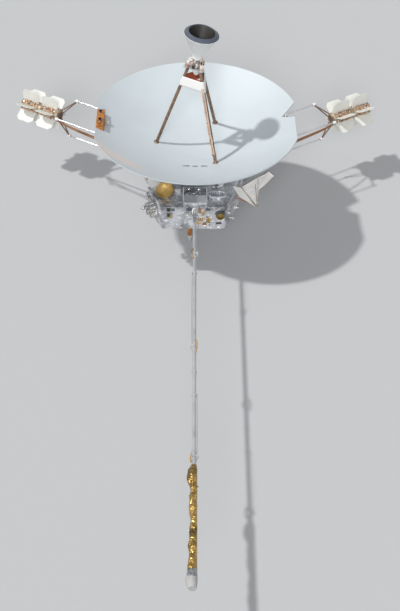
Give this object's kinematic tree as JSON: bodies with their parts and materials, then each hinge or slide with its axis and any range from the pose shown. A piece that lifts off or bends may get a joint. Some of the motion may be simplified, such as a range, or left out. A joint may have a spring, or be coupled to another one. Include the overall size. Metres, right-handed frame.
{
  "type": "deep-space probe satellite",
  "caption": "Spin-stabilised space probe with a dish antenna and feed tripod, two finned power generators on sliding trusses and a folding instrument boom.",
  "frame": {"origin": "centre of the lower face of the launch ring", "axes": "+Z along the dish's axis, the way the dish looks; -Y along the deployed instrument boom"},
  "size_m": [5.1044, 8.2718, 3.1017],
  "materials": {
    "ring_metal": "machined",
    "bus_film": "wrinkled film",
    "louvre_metal": "polished",
    "dish_paint": "satin white",
    "strut_metal": "satin",
    "panel_cells": "satin",
    "strut_wrap": "copper-brown tape",
    "collar_paint": "matt white",
    "feed_paint": "matt white",
    "feed_metal": "bare",
    "horn_paint": "matt white",
    "orange_film": "orange film",
    "thruster_metal": "bare",
    "mast_film": "orange film",
    "cone_metal": "bare",
    "gold_film": "gold film",
    "dark_coat": "dark",
    "white_panel": "matt white",
    "copper_tube": "copper film",
    "blanket_cloth": "creased cloth",
    "rod_metal": "satin",
    "generator_paint": "off-white",
    "boom_metal": "bare",
    "boom_foil": "gold film",
    "sensor_metal": "satin"
  },
  "bodies": {
    "bus": {"launch_ring": "ring_metal", "ring_posts": "ring_metal", "equipment_compartment": "bus_film", "louvre_ring": "louvre_metal", "instrument_bay": "bus_film", "dish_reflector": "dish_paint", "dish_hub": "bus_film", "dish_struts": "strut_metal", "detector_panels": "panel_cells", "tripod_strut_left": "strut_wrap", "tripod_strut_near": "strut_wrap", "tripod_strut_far": "strut_wrap", "feed_collar": "collar_paint", "feed_platform": "feed_metal", "feed_cone": "feed_paint", "feed_electronics": "feed_metal", "horn_seat": "feed_metal", "gain_horn": "horn_paint", "thruster_box_left": "orange_film", "thruster_pair_right": "thruster_metal", "sun_sensor": "strut_metal", "aft_mast": "mast_film", "aft_cone": "cone_metal", "bowl_radiometer": "gold_film", "bay_covers": "bus_film", "oval_hood": "dark_coat", "telescope_cluster": "bus_film", "side_detectors": "strut_metal", "right_detectors": "strut_metal", "front_aperture": "gold_film", "wall_panel": "white_panel", "outrigger_tubes": "copper_tube", "outrigger_blanket": "blanket_cloth", "rod_guide_left": "strut_metal", "rod_guide_right": "strut_metal", "boom_root_bracket": "strut_metal"},
    "power_boom_left": {"truss_rods_left": "rod_metal", "end_frame_left": "rod_metal", "generator_inner_left": "generator_paint", "generator_outer_left": "generator_paint"},
    "power_boom_right": {"truss_rods_right": "rod_metal", "end_frame_right": "rod_metal", "generator_inner_right": "generator_paint", "generator_outer_right": "generator_paint"},
    "boom_stub": {"boom_stub": "boom_metal"},
    "boom_inner": {"boom_inner": "boom_metal"},
    "boom_middle": {"boom_middle": "boom_metal"},
    "boom_outer": {"boom_outer": "boom_metal", "foil_sleeve": "boom_foil", "sensor_head": "sensor_metal"}
  },
  "joints": [
    {"name": "left_truss_slide", "type": "slide", "parent": "bus", "child": "power_boom_left", "axis": [-0.866, 0.5, 0], "range_m": [-1.3, 0]},
    {"name": "right_truss_slide", "type": "slide", "parent": "bus", "child": "power_boom_right", "axis": [0.866, 0.5, 0], "range_m": [-1.3, 0]},
    {"name": "boom_root_hinge", "type": "hinge", "parent": "bus", "child": "boom_stub", "pos_m": [-0.045, -1.09, 0.43], "axis": [0, 0, 1], "range_deg": [-90, 0]},
    {"name": "boom_hinge_1", "type": "hinge", "parent": "boom_stub", "child": "boom_inner", "pos_m": [0.027, -1.859, 0.43], "axis": [0, 0, 1], "range_deg": [0, 180]},
    {"name": "boom_hinge_2", "type": "hinge", "parent": "boom_inner", "child": "boom_middle", "pos_m": [-0.045, -3.4665, 0.43], "axis": [0, 0, 1], "range_deg": [-180, 0]},
    {"name": "boom_hinge_3", "type": "hinge", "parent": "boom_middle", "child": "boom_outer", "pos_m": [0.027, -5.074, 0.43], "axis": [0, 0, 1], "range_deg": [0, 180]}
  ],
  "couplings": [
    {"joint": "boom_hinge_1", "follows": "boom_root_hinge", "ratio": -2},
    {"joint": "boom_hinge_2", "follows": "boom_root_hinge", "ratio": 2},
    {"joint": "boom_hinge_3", "follows": "boom_root_hinge", "ratio": -2}
  ]
}
